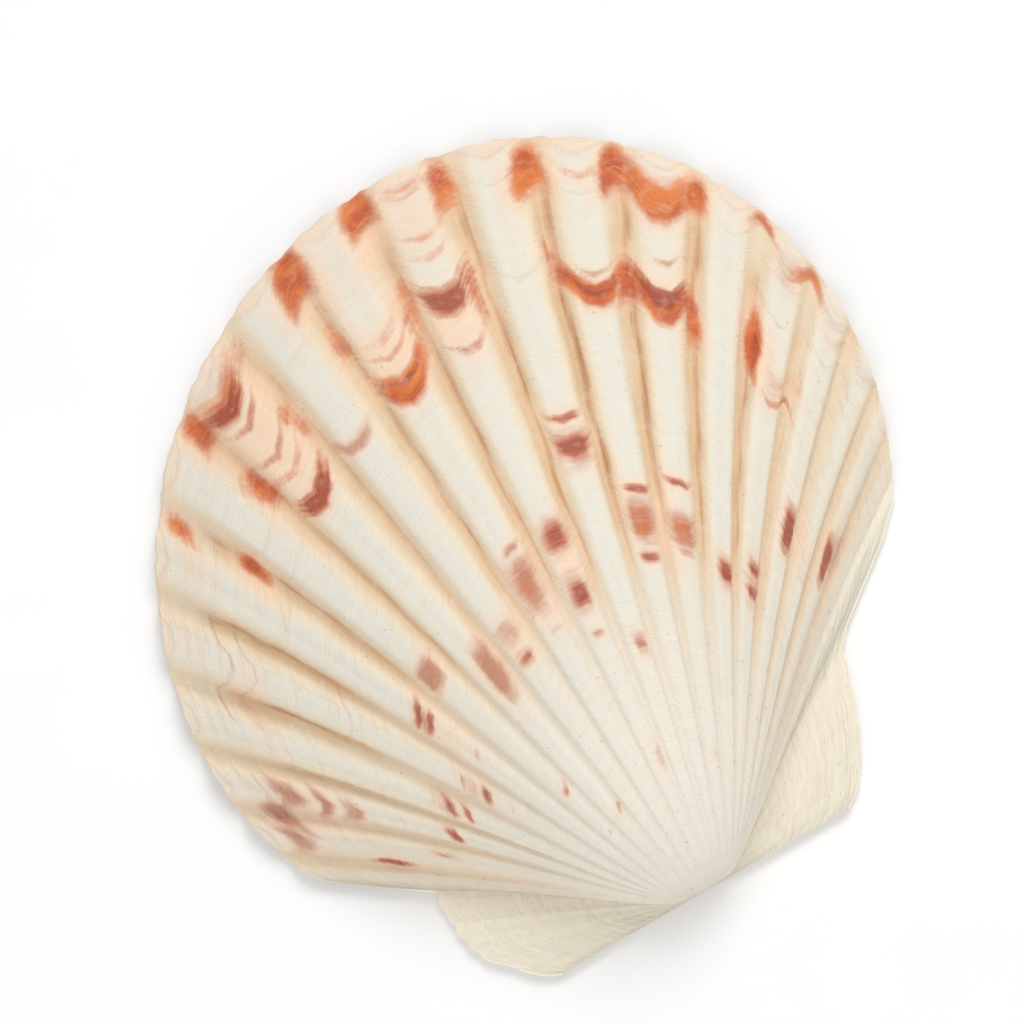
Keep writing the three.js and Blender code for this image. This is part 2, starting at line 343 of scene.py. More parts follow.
# Colour marks on the outside, each as (rib, half width in ribs, from stage, to stage, strength).
# They lie between growth lines, so on a rib top they bend as the growth lines do.
ORANGE_MARKS = (
    (-3.6, 0.16, 0.905, 0.985, 0.75), (-3.52, 0.13, 0.75, 0.825, 0.9),
    (-2.5, 0.2, 0.90, 0.99, 0.9), (-2.0, 0.5, 0.915, 0.985, 0.75), (-1.5, 0.18, 0.915, 0.97, 0.5),
    (-2.5, 0.17, 0.755, 0.85, 0.8), (-2.0, 0.55, 0.715, 0.765, 0.6), (-1.55, 0.13, 0.745, 0.85, 0.6),
    (-2.0, 0.5, 0.79, 0.805, 0.6),
    (-0.55, 0.27, 0.90, 1.0, 1.0), (-0.5, 0.14, 0.77, 0.86, 0.6),
    (0.0, 0.5, 0.708, 0.757, 1.0), (0.0, 0.5, 0.775, 0.79, 0.5), (0.0, 0.45, 0.80, 0.812, 0.45),
    (0.42, 0.26, 0.925, 1.0, 1.0), (0.5, 0.14, 0.73, 0.85, 0.6),
    (1.0, 0.42, 0.965, 0.995, 0.5), (1.0, 0.42, 0.865, 0.885, 0.45), (1.0, 0.42, 0.90, 0.915, 0.5),
    (1.42, 0.19, 0.885, 0.995, 0.8), (1.38, 0.13, 0.71, 0.83, 0.6), (1.0, 0.4, 0.77, 0.835, 0.5),
    (2.38, 0.24, 0.895, 0.985, 1.0), (2.45, 0.12, 0.75, 0.83, 0.5), (3.0, 0.42, 0.955, 0.97, 0.5),
    (2.95, 0.55, 0.752, 0.795, 1.0),
    (3.42, 0.24, 0.90, 0.985, 1.0), (4.0, 0.6, 0.905, 0.978, 1.0), (4.5, 0.16, 0.905, 0.975, 0.9),
    (4.0, 0.6, 0.75, 0.80, 1.0), (3.45, 0.16, 0.735, 0.80, 0.9), (4.5, 0.15, 0.70, 0.80, 0.8),
    (5.62, 0.17, 0.725, 0.835, 1.0), (6.1, 0.4, 0.74, 0.756, 0.5), (6.6, 0.1, 0.76, 0.83, 0.35),
    (5.5, 0.3, 0.962, 0.985, 0.7), (6.4, 0.5, 0.955, 0.985, 0.7), (7.4, 0.5, 0.95, 0.975, 0.35),
    (0.0, 0.36, 0.415, 0.48, 0.45), (3.0, 0.38, 0.455, 0.503, 0.6), (4.0, 0.40, 0.458, 0.494, 0.55),
)
BROWN_MARKS = (
    (-2.05, 0.4, 0.925, 0.962, 0.9), (-2.0, 0.4, 0.892, 0.906, 0.6),
    (-2.0, 0.5, 0.828, 0.842, 0.6), (-2.0, 0.42, 0.722, 0.756, 1.0), (-2.45, 0.12, 0.80, 0.84, 0.5),
    (0.0, 0.42, 0.738, 0.748, 0.7), (0.0, 0.42, 0.716, 0.727, 0.7), (0.0, 0.4, 0.81, 0.818, 0.45),
    (1.0, 0.4, 0.782, 0.826, 1.0), (1.0, 0.4, 0.724, 0.735, 0.6), (1.35, 0.1, 0.76, 0.83, 0.5),
    (2.0, 0.36, 0.555, 0.583, 0.95), (2.0, 0.36, 0.601, 0.611, 0.8),
    (2.95, 0.42, 0.768, 0.79, 0.85), (3.0, 0.4, 0.802, 0.811, 0.5),
    (4.0, 0.48, 0.775, 0.808, 1.0), (4.1, 0.25, 0.843, 0.852, 0.5), (3.45, 0.1, 0.75, 0.79, 0.6),
    (5.66, 0.11, 0.755, 0.815, 0.7),
    (-3.52, 0.08, 0.77, 0.815, 0.6),
    (-4.0, 0.36, 0.483, 0.496, 0.75), (-4.0, 0.36, 0.502, 0.516, 0.75), (-4.0, 0.3, 0.405, 0.413, 0.4),
    (-5.0, 0.34, 0.393, 0.407, 0.75), (-5.0, 0.3, 0.435, 0.443, 0.5), (-5.0, 0.28, 0.355, 0.361, 0.35),
    (-6.0, 0.36, 0.445, 0.457, 0.75), (-6.0, 0.36, 0.472, 0.49, 0.65), (-7.0, 0.28, 0.492, 0.525, 0.8),
    (-7.9, 0.14, 0.56, 0.60, 0.5), (-2.85, 0.26, 0.272, 0.282, 0.5), (-1.6, 0.22, 0.203, 0.211, 0.5),
    (-0.95, 0.3, 0.385, 0.402, 0.7), (0.1, 0.3, 0.485, 0.495, 0.55), (0.1, 0.3, 0.387, 0.395, 0.4),
    (1.05, 0.3, 0.463, 0.492, 0.75), (1.05, 0.3, 0.395, 0.422, 0.8), (1.05, 0.25, 0.362, 0.369, 0.5),
    (2.1, 0.27, 0.33, 0.35, 0.5), (3.0, 0.3, 0.43, 0.443, 0.75), (3.05, 0.36, 0.511, 0.519, 0.85),
    (4.0, 0.37, 0.530, 0.538, 0.8), (4.0, 0.3, 0.447, 0.454, 0.4), (4.1, 0.24, 0.218, 0.226, 0.4),
    (5.15, 0.3, 0.44, 0.47, 0.8), (6.15, 0.33, 0.48, 0.50, 0.75), (6.15, 0.33, 0.452, 0.467, 0.85),
    (6.2, 0.28, 0.272, 0.279, 0.35), (7.1, 0.24, 0.565, 0.645, 1.0), (8.95, 0.24, 0.63, 0.735, 0.9),
    (-8.45, 0.12, 0.67, 0.77, 0.85), (1.3, 0.22, 0.212, 0.238, 0.3),
    (-1.62, 0.10, 0.80, 0.845, 0.55), (-0.42, 0.09, 0.73, 0.82, 0.45), (0.4, 0.08, 0.73, 0.80, 0.5),
    (1.42, 0.08, 0.72, 0.82, 0.45), (2.42, 0.07, 0.79, 0.835, 0.55), (3.5, 0.09, 0.745, 0.80, 0.7),
    (2.55, 0.08, 0.75, 0.79, 0.5), (4.5, 0.07, 0.72, 0.80, 0.4), (-2.62, 0.08, 0.835, 0.855, 0.5),
    (6.5, 0.35, 0.742, 0.750, 0.6), (6.7, 0.10, 0.78, 0.83, 0.4),
)
ROSE_MARKS = (
    (-8.0, 0.42, 0.90, 0.965, 0.75), (-7.5, 0.42, 0.855, 0.93, 0.8), (-7.0, 0.3, 0.83, 0.90, 0.85),
    (-7.1, 0.4, 0.77, 0.80, 0.85), (-7.1, 0.36, 0.70, 0.75, 0.7), (-5.6, 0.45, 0.80, 0.87, 0.35),
    (-1.1, 0.42, 0.717, 0.738, 0.7),
    (2.0, 0.42, 0.535, 0.60, 0.5), (6.2, 0.45, 0.745, 0.80, 0.4), (6.0, 0.45, 0.93, 0.985, 0.4),
    (7.2, 0.4, 0.93, 0.97, 0.3), (9.3, 0.5, 0.66, 0.77, 0.5), (8.1, 0.4, 0.57, 0.63, 0.3),
    (-1.85, 0.28, 0.378, 0.455, 1.0), (-3.0, 0.32, 0.475, 0.516, 0.95), (-0.95, 0.35, 0.41, 0.445, 0.55),
    (-6.0, 0.42, 0.46, 0.52, 0.4), (-5.0, 0.4, 0.41, 0.44, 0.35), (0.05, 0.36, 0.412, 0.482, 0.8),
    (1.05, 0.34, 0.455, 0.50, 0.8), (1.05, 0.34, 0.388, 0.435, 0.7), (3.0, 0.38, 0.45, 0.51, 0.8),
    (4.0, 0.42, 0.452, 0.50, 0.8), (5.15, 0.34, 0.43, 0.478, 0.6), (6.15, 0.4, 0.425, 0.515, 0.5),
    (2.1, 0.3, 0.322, 0.36, 0.45), (-4.0, 0.4, 0.475, 0.525, 0.45), (7.1, 0.34, 0.55, 0.66, 0.45),
    (1.3, 0.26, 0.205, 0.245, 0.35), (-7.9, 0.25, 0.52, 0.62, 0.35),
)
# Peach ground between the marks, given like them.
WARM_FILLS = (
    (-2.0, 0.66, 0.70, 0.99, 0.95), (0.0, 0.62, 0.70, 0.845, 0.9), (1.0, 0.60, 0.70, 0.845, 0.8),
    (0.95, 0.55, 0.86, 0.995, 0.6), (-0.5, 0.42, 0.86, 1.0, 0.8), (0.45, 0.42, 0.86, 1.0, 0.8),
    (2.4, 0.40, 0.87, 1.0, 0.7), (3.0, 0.55, 0.735, 0.81, 0.8), (4.0, 0.66, 0.74, 0.83, 0.9),
    (3.0, 0.5, 0.93, 0.985, 0.5), (3.9, 0.75, 0.885, 0.985, 0.9), (5.7, 0.40, 0.72, 0.85, 0.9),
    (6.3, 0.45, 0.73, 0.80, 0.7), (6.3, 0.9, 0.935, 0.985, 0.6), (-3.6, 0.30, 0.73, 0.85, 0.8),
    (-3.75, 0.35, 0.89, 0.99, 0.6), (-4.9, 0.35, 0.93, 0.985, 0.4), (-5.4, 0.75, 0.79, 0.885, 0.5),
    (-7.2, 0.70, 0.70, 0.945, 0.7), (-8.0, 0.60, 0.88, 0.98, 0.5), (-8.3, 0.45, 0.66, 0.78, 0.4),
    (9.2, 0.70, 0.63, 0.80, 0.6), (7.6, 0.95, 0.56, 0.67, 0.5), (6.2, 0.50, 0.42, 0.52, 0.7),
    (5.15, 0.50, 0.42, 0.49, 0.7), (3.5, 0.95, 0.42, 0.52, 0.7), (1.05, 0.48, 0.375, 0.51, 0.8),
    (0.05, 0.48, 0.38, 0.50, 0.8), (-0.95, 0.46, 0.375, 0.455, 0.8), (-1.85, 0.42, 0.365, 0.465, 0.7),
    (-3.0, 0.46, 0.465, 0.525, 0.8), (-4.0, 0.50, 0.395, 0.53, 0.6), (-5.0, 0.50, 0.385, 0.455, 0.6),
    (-6.0, 0.50, 0.44, 0.525, 0.6), (-7.0, 0.50, 0.48, 0.54, 0.5), (2.0, 0.45, 0.54, 0.62, 0.5),
    (2.1, 0.42, 0.32, 0.365, 0.5), (0.5, 9.0, 0.985, 1.02, 0.6),
)
# Thin stained growth lines, as (from rib, to rib, stage at each end, half width, strength).
STAINED_LINES = (
    (-5.8, -5.3, 0.905, 0.876, 0.004, 0.65), (-5.3, -4.5, 0.876, 0.876, 0.004, 0.55),
    (-5.5, -4.6, 0.832, 0.828, 0.004, 0.5), (-7.6, -6.8, 0.925, 0.918, 0.004, 0.45),
    (-5.5, -4.5, 0.64, 0.64, 0.004, 0.4), (-4.4, -3.7, 0.755, 0.752, 0.004, 0.35),
    (-3.5, -2.6, 0.80, 0.80, 0.003, 0.35), (-1.5, -0.6, 0.892, 0.892, 0.003, 0.3),
    (1.5, 2.4, 0.803, 0.803, 0.003, 0.4), (1.6, 2.4, 0.955, 0.952, 0.003, 0.35),
    (5.5, 6.1, 0.858, 0.878, 0.003, 0.45), (6.8, 7.8, 0.898, 0.918, 0.003, 0.4),
    (2.5, 3.4, 0.93, 0.932, 0.003, 0.35), (3.5, 4.5, 0.946, 0.944, 0.003, 0.5),
    (-9.4, -6.0, 0.955, 0.958, 0.003, 0.3), (5.4, 8.4, 0.967, 0.972, 0.003, 0.4),
    (-5.9, -4.6, 0.967, 0.966, 0.003, 0.3), (-9.0, 10.0, 0.992, 0.992, 0.004, 0.35),
    (5.3, 6.2, 0.955, 0.99, 0.004, 0.5), (6.0, 8.6, 0.975, 0.985, 0.004, 0.5),
    (4.8, 7.0, 0.955, 0.962, 0.003, 0.35), (7.7, 9.3, 0.925, 0.962, 0.003, 0.3),
    (-8.9, -7.6, 0.975, 0.945, 0.003, 0.4), (-7.4, -6.5, 0.935, 0.955, 0.003, 0.35),
)
# The darkest line of a furrow, painted shade, runs a little behind its middle. All three are in ribs.
FURROW_HALF = 0.26
SHADE_LINE_HALF = 0.11
SHADE_LINE_OFFSET = 0.05

# Tan furrow lines, part stain and part painted shade in the furrows, as (furrow, from stage, to stage,
# strength); they also place the painted shade line.
FURROW_TAN_AND_SHADE = (
    (-7.5, 0.62, 0.90, 0.25), (-6.5, 0.62, 0.84, 0.6), (-5.5, 0.60, 0.88, 0.85), (-4.5, 0.60, 0.90, 0.85),
    (-3.5, 0.50, 0.90, 0.8), (-2.5, 0.45, 0.96, 0.75), (-1.5, 0.45, 0.95, 0.7), (-0.5, 0.42, 0.98, 0.75),
    (0.5, 0.42, 0.98, 0.85), (1.5, 0.42, 0.98, 0.95), (2.5, 0.45, 0.97, 1.0), (3.5, 0.45, 0.97, 1.0),
    (4.5, 0.45, 0.96, 0.95), (5.5, 0.45, 0.90, 0.8), (6.5, 0.40, 0.90, 0.5), (7.5, 0.40, 0.85, 0.3),
    (8.5, 0.45, 0.8, 0.2),
)


def box_marks(rib, stage, marks, spread_rib=0.0, spread_stage=0.003, reach=1.35):
    """The strongest mark at each point: reach minus the mark's own radius, held between 0 and
    1, times its strength. The radius is the cubic norm of the two offsets from the middle,
    each over its half size, so a mark is a box with round corners."""
    field = np.zeros(rib.shape)
    for middle, half_width, low, high, strength in marks:
        across = np.abs(rib - middle) / (half_width + spread_rib)
        along = np.abs(stage - 0.5 * (low + high)) / (0.5 * (high - low) + spread_stage)
        radius = np.cbrt(across ** 3 + along ** 3)
        field = np.maximum(field, strength * np.clip(reach - radius, 0.0, 1.0))
    return field


def line_marks(rib, stage, lines):
    """The strongest line at each point: a tent over the line's stage, which runs evenly
    from its value at the first rib to its value at the last, and fades past both ends."""
    field = np.zeros(rib.shape)
    for first, last, start, stop, half_width, strength in lines:
        share = np.clip((rib - first) / (last - first), 0.0, 1.0)
        beyond = np.maximum(first - rib, rib - last)
        offset = np.abs(stage - mix(start, stop, share)) / (1.4 * half_width)
        field = np.maximum(field, strength * np.clip(1.3 - offset, 0.0, 1.0) * ease(0.15, 0.0, beyond))
    return field


def furrow_marks(rib, stage, stains, half_width, offset):
    """A tent across each listed furrow, fading in and out along it."""
    field = np.zeros(rib.shape)
    for furrow, low, high, strength in stains:
        across = np.clip(1.0 - np.abs(rib - furrow - offset) / half_width, 0.0, 1.0)
        along = ease(low - 0.15, low + 0.08, stage) * ease(high + 0.05, high - 0.05, stage)
        field = np.maximum(field, strength * across * along)
    return field


def grid_faces(rows, columns):
    """Corner numbers of the quads of a grid whose points are counted row by row."""
    corner = np.arange(rows * columns).reshape(rows, columns)
    around = [corner[:-1, :-1], corner[:-1, 1:], corner[1:, 1:], corner[1:, :-1]]
    return np.stack(around, -1).reshape(-1, 4)


def pole_faces(pole, ring, flip):
    """A fan of triangles from a pole to the points of a row."""
    first, second = (ring[1:], ring[:-1]) if flip else (ring[:-1], ring[1:])
    return np.stack([np.full(len(first), pole), first, second], -1)


def hinge_faces(outer, inner, rim, poles, flip):
    """The strip along the hinge line on one ear: each inner segment is fanned to the outer
    segments above it, and the ends at the beak and at the rim are closed."""
    step = OUTER_ROWS_PER_INNER
    top = [outer[offset::step][:len(inner) - 1] for offset in range(step)] + [outer[step::step]]
    low = inner[:-1]
    next_low = inner[1:]
    faces = [
        np.stack([top[0], top[1], low], -1),
        np.stack([top[1], top[2], low], -1),
        np.stack([top[2], next_low, low], -1),
        np.stack([top[2], top[3], next_low], -1),
    ]
    edge = np.concatenate([outer[-1:], rim])
    faces.append(np.stack([edge[:-1], edge[1:], np.full(len(rim), inner[-1])], -1))
    faces.append(np.array([[poles[0], outer[0], inner[0]], [poles[0], inner[0], poles[1]]]))
    faces = np.concatenate(faces)
    return faces[:, ::-1] if flip else faces


def into_box(points, low, high):
    """Points in millimetres set into a box: their own box is matched to it on each axis."""
    own_low = points.min(0)
    own_high = points.max(0)
    return low + (points - own_low) / (own_high - own_low) * (high - low)


def valve_mesh():
    """The whole valve as one grid that runs out over the outer face, round the rim and back
    over the inner face, closed by a fan at each beak and a strip along each ear's hinge."""
    ribs = rib_columns()[None, :]
    inner_rows = (OUTER_ROWS - 1) // OUTER_ROWS_PER_INNER + 1
    stages = growth_rows(FIRST_STAGE, OUTER_ROWS, 0.12)[:, None]
    inner_stages = growth_rows(FIRST_STAGE_INSIDE, inner_rows, 0.45)[:, None]
    outer = outside(ribs, stages)
    inner = inside(ribs, inner_stages)
    rim = rounded_rim(outer[-1], inner[-1])
    grid = np.concatenate([outer, rim, inner[::-1]])
    rows, columns = grid.shape[:2]

    outer_beak = [0.0, 0.0, SHELL_EDGE]
    inner_beak = [mix(middle, 0.0, INSIDE_SHRINK) for middle in DISC_CENTRE] + [0.0]
    points = np.concatenate([grid.reshape(-1, 3), [outer_beak, inner_beak]])
    poles = (rows * columns, rows * columns + 1)
    corner = np.arange(rows * columns).reshape(rows, columns)
    top = corner[:OUTER_ROWS]
    lip = corner[OUTER_ROWS:OUTER_ROWS + RIM_ROWS]
    under = corner[OUTER_ROWS + RIM_ROWS:][::-1]

    quads = grid_faces(rows, columns)
    triangles = np.concatenate([
        pole_faces(poles[0], corner[0], flip=True),
        pole_faces(poles[1], corner[-1], flip=False),
        hinge_faces(top[:, 0], under[:, 0], lip[:, 0], poles, flip=False),
        hinge_faces(top[:, -1], under[:, -1], lip[:, -1], poles, flip=True),
    ])

    rib_grid = np.broadcast_to(ribs, (rows, columns))
    rim_stages = np.ones((RIM_ROWS, 1))
    all_stages = np.concatenate([stages, rim_stages, inner_stages[::-1]])
    stage_grid = np.broadcast_to(all_stages, (rows, columns))
    under_share = np.concatenate([
        np.zeros(OUTER_ROWS), np.linspace(0.0, 1.0, RIM_ROWS + 2)[1:-1], np.ones(inner_rows),
    ])[:, None] * np.ones((1, columns))
    rib_fuzz = rib_grid + 0.030 * waves(rib_grid, stage_grid, 5.0, 60.0, 41, count=9)
    crest = 0.5 + 0.5 * np.cos(2.0 * np.pi * (rib_grid - np.round(rib_grid)))
    growth = stage_grid + MARK_SAG * ease(0.5, 0.85, stage_grid) * (crest - 0.5) * on_disc(rib_grid)
    stage_fuzz = growth + 0.0020 * waves(rib_grid, stage_grid, 6.0, 40.0, 42, count=9)
    all_marks = ORANGE_MARKS + BROWN_MARKS + ROSE_MARKS
    fields = {
        "rib": rib_grid,
        "stage": stage_grid,
        "growth": growth,
        "relief": rib_relief(rib_grid),
        "crest": mix(crest, 0.75, 1.0 - on_disc(rib_grid)),
        "ear": 1.0 - on_disc(rib_grid),
        "orange": box_marks(rib_fuzz, stage_fuzz, ORANGE_MARKS),
        "brown": box_marks(rib_fuzz, stage_fuzz, BROWN_MARKS),
        "rose": box_marks(rib_fuzz, stage_fuzz, ROSE_MARKS),
        "lines": line_marks(rib_fuzz, stage_fuzz, STAINED_LINES),
        "furrow": furrow_marks(rib_fuzz, stage_fuzz, FURROW_TAN_AND_SHADE, FURROW_HALF, 0.0),
        "furrow_shade_line": furrow_marks(rib_fuzz, stage_fuzz, FURROW_TAN_AND_SHADE, SHADE_LINE_HALF, SHADE_LINE_OFFSET),
        "halo": box_marks(rib_fuzz, stage_fuzz, all_marks, 0.20, 0.012, 1.2),
        "warm": box_marks(rib_fuzz, stage_fuzz, WARM_FILLS, 0.05, 0.006, 1.3),
        "underside": under_share,
        "scar": muscle_scar(grid[..., 0], grid[..., 1]) * under_share,
    }
    values = {
        name: np.concatenate([field.ravel(), [field[0, 0], field[-1, 0]]])
        for name, field in fields.items()
    }
    values["rib"][-2:] = 0.0
    values["ear"][-2:] = 0.0
    return points, quads, triangles, values


# Edges that turn by more than this stay crisp.
SHARP_ANGLE = math.radians(62.0)


def add_mesh(name, points, quads, triangles, values):
    """A mesh object at the origin from arrays of points, quads, triangles and point values."""
    mesh = bpy.data.meshes.new(name)
    corners = np.concatenate([quads.ravel(), triangles.ravel()]).astype(np.int32)
    sizes = np.concatenate([np.full(len(quads), 4), np.full(len(triangles), 3)])
    starts = np.concatenate([[0], np.cumsum(sizes)[:-1]]).astype(np.int32)
    mesh.vertices.add(len(points))
    mesh.vertices.foreach_set("co", points.astype(np.float32).ravel())
    mesh.loops.add(len(corners))
    mesh.loops.foreach_set("vertex_index", corners)
    mesh.polygons.add(len(sizes))
    mesh.polygons.foreach_set("loop_start", starts)
    mesh.polygons.foreach_set("use_smooth", np.ones(len(sizes), bool))
    for label, field in values.items():
        layer = mesh.attributes.new(label, "FLOAT", "POINT")
        layer.data.foreach_set("value", field.astype(np.float32))
    mesh.update(calc_edges=True)
    mesh.validate()
    mesh.set_sharp_from_angle(angle=SHARP_ANGLE)
    piece = bpy.data.objects.new(name, mesh)
    bpy.context.scene.collection.objects.link(piece)
    return piece


def colour(red, green, blue):
    """A colour given as on a colour chart, 0 to 255, in the linear values shaders take."""
    def linear(channel):
        share = channel / 255.0
        return share / 12.92 if share <= 0.04045 else ((share + 0.055) / 1.055) ** 2.4
    return (linear(red), linear(green), linear(blue), 1.0)


class Finish:
    """A material whose nodes are added one by one; each method returns the new output."""

    def __init__(self, name):
        self.material = bpy.data.materials.new(name)
        self.material.use_nodes = True
        self.tree = self.material.node_tree
        self.shader = self.tree.nodes["Principled BSDF"]

    def add(self, kind, **settings):
        """A node of a kind, with its settings."""
        node = self.tree.nodes.new(kind)
        for key, value in settings.items():
            setattr(node, key, value)
        return node

    def feed(self, socket, value):
        """Links an output to a socket, or sets the socket where the value is a plain one."""
        if isinstance(value, bpy.types.NodeSocket):
            self.tree.links.new(value, socket)
        else:
            socket.default_value = value

    def field(self, name):
        """The value of one of the mesh's own fields."""
        return self.add("ShaderNodeAttribute", attribute_name=name).outputs["Fac"]

    def place(self):
        """The point on the object, in metres."""
        return self.add("ShaderNodeTexCoord").outputs["Object"]

    def vector(self, x, y):
        """A vector of two values and a zero."""
        node = self.add("ShaderNodeCombineXYZ")
        self.feed(node.inputs[0], x)
        self.feed(node.inputs[1], y)
        return node.outputs[0]

    def maths(self, operation, a, b=0.0):
        """One operation on two values."""
        node = self.add("ShaderNodeMath", operation=operation)
        self.feed(node.inputs[0], a)
        self.feed(node.inputs[1], b)
        return node.outputs[0]

    def times(self, a, b):
        return self.maths("MULTIPLY", a, b)

    def plus(self, a, b):
        return self.maths("ADD", a, b)

    def minus(self, a, b):
        return self.maths("SUBTRACT", a, b)

    def noise(self, vector, scale, detail=3.0, roughness=0.55):
        """Soft noise of 0 to 1 over a vector."""
        node = self.add("ShaderNodeTexNoise")
        self.feed(node.inputs["Vector"], vector)
        node.inputs["Scale"].default_value = scale
        node.inputs["Detail"].default_value = detail
        node.inputs["Roughness"].default_value = roughness
        return node.outputs["Fac"]

    def step(self, value, low, high, to_low=0.0, to_high=1.0):
        """Smooth step of a value from low to high."""
        node = self.add("ShaderNodeMapRange", interpolation_type="SMOOTHSTEP")
        self.feed(node.inputs["Value"], value)
        node.inputs["From Min"].default_value = low
        node.inputs["From Max"].default_value = high
        node.inputs["To Min"].default_value = to_low
        node.inputs["To Max"].default_value = to_high
        return node.outputs["Result"]

    def blend(self, share, a, b):
        """Colour a where share is 0, colour b where it is 1."""
        node = self.add("ShaderNodeMix", data_type="RGBA")
        self.feed(node.inputs["Factor"], share)
        self.feed(node.inputs[6], a)
        self.feed(node.inputs[7], b)
        return node.outputs[2]

    def bump(self, height, distance, strength, after=None):
        """A normal tilted by a height of 0 to 1 times a distance in metres."""
        node = self.add("ShaderNodeBump")
        node.inputs["Strength"].default_value = strength
        node.inputs["Distance"].default_value = distance
        self.feed(node.inputs["Height"], height)
        if after is not None:
            self.feed(node.inputs["Normal"], after)
        return node.outputs["Normal"]


RIB_WHITE = colour(231, 226, 212)
RIB_CREAM = colour(238, 228, 210)
RIB_SHOULDER = colour(240, 223, 195)
FURROW_IVORY = colour(235, 215, 187)
# Tan of the furrows: part stain, part painted shade in the furrows.
FURROW_TAN = colour(221, 178, 128)
# Painted shade along the bottom of each furrow.
FURROW_SHADE_BROWN = colour(180, 118, 72)
BEAK_WHITE = colour(246, 237, 224)
EAR_IVORY = colour(252, 243, 223)
MARK_ORANGE = colour(222, 116, 46)
MARK_RUST = colour(196, 82, 34)
MARK_AMBER = colour(232, 156, 88)
MARK_BROWN = colour(202, 104, 62)
MARK_MAROON = colour(162, 70, 48)
MARK_ROSE = colour(192, 128, 102)
MARK_PEACH = colour(248, 212, 180)
LINE_BROWN = colour(178, 110, 70)
PORCELAIN = colour(242, 238, 230)
PORCELAIN_ROSE = colour(222, 196, 184)
SCAR_GREY = colour(230, 224, 216)
CARD_WHITE = colour(246, 246, 246)
CARD_WHITE_LIGHT = colour(249, 249, 249)

# Noise rates: along the growth lines and along the ribs per rib and per unit of stage, and
# over the surface per metre.
STRIAE_RATE = (0.9, 130.0)
FIBRE_RATE = (26.0, 7.0)
FINE_STRIAE_RATE = (0.7, 300.0)
CLOUD_SCALE = 90.0
BLOTCH_SCALE = 420.0
GRAIN_SCALE = 1100.0
SPECK_SCALE = 2600.0

# Heights of the finest relief, in metres.
STRIAE_HEIGHT = 0.00010
FIBRE_HEIGHT = 0.00006
GRAIN_HEIGHT = 0.00004


